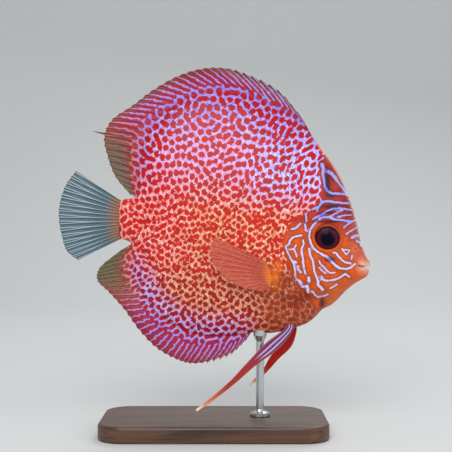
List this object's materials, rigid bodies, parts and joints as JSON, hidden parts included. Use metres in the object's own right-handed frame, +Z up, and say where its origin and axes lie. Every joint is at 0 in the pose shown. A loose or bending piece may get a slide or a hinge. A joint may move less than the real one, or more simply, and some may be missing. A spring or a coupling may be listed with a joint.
{
  "type": "discus fish model",
  "caption": "Life-size model of a swimming discus fish, disc-shaped with spotted skin and spread fins, on a plain display stand.",
  "frame": {"origin": "on the floor, under the middle of the bounding box", "axes": "+X towards the fish's snout, +Z up, +Y to the fish's left side"},
  "size_m": [0.1556, 0.062, 0.183],
  "materials": {
    "skin": "wet satin",
    "face": "wet satin",
    "fin": "wet satin",
    "tail_fin": "wet satin, translucent",
    "eye": "polished",
    "stand_wood": "oiled walnut",
    "stand_steel": "brushed"
  },
  "bodies": {
    "root": {"head": "face", "lower_jaw": "face", "torso": "skin", "tail_root": "skin", "gill_cover_right": "face", "gill_cover_left": "face", "eye_right": "eye", "eye_left": "eye", "dorsal_fin_spines": "fin", "dorsal_fin_top": "fin", "dorsal_fin_rear": "fin", "anal_fin_spines": "fin", "anal_fin_middle": "fin", "anal_fin_rear": "fin", "caudal_fin": "tail_fin", "pectoral_fin_right": "fin", "pectoral_fin_left": "fin", "pelvic_fin_right": "fin", "pelvic_fin_left": "fin", "stand_base": "stand_wood", "stand_rod": "stand_steel"}
  },
  "joints": []
}
